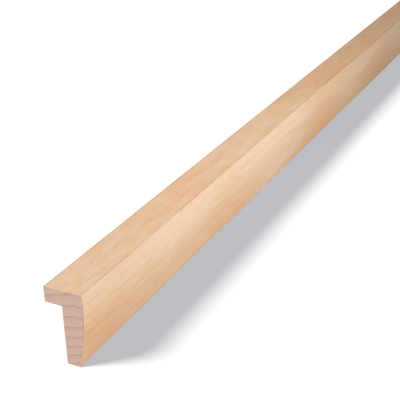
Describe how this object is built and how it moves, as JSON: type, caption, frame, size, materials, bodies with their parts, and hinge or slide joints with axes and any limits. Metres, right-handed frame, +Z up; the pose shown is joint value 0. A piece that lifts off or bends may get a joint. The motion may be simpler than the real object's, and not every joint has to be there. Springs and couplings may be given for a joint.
{
  "type": "worktop edging strip",
  "caption": "Straight solid beech edging strip with a rebate for the worktop edge, a lip over its top face and a front that tapers towards the foot.",
  "frame": {"origin": "under the middle of the section's width, at mid length, on the floor that the foot stands on", "axes": "+X along the length, away from the end that the picture shows, -Y out of the front face, +Y towards the edge of the lip, +Z up"},
  "size_m": [1, 0.02, 0.038],
  "materials": {
    "planed_beech": "planed and sanded, unfinished"
  },
  "bodies": {
    "root": {"edging_strip": "planed_beech"}
  },
  "joints": []
}
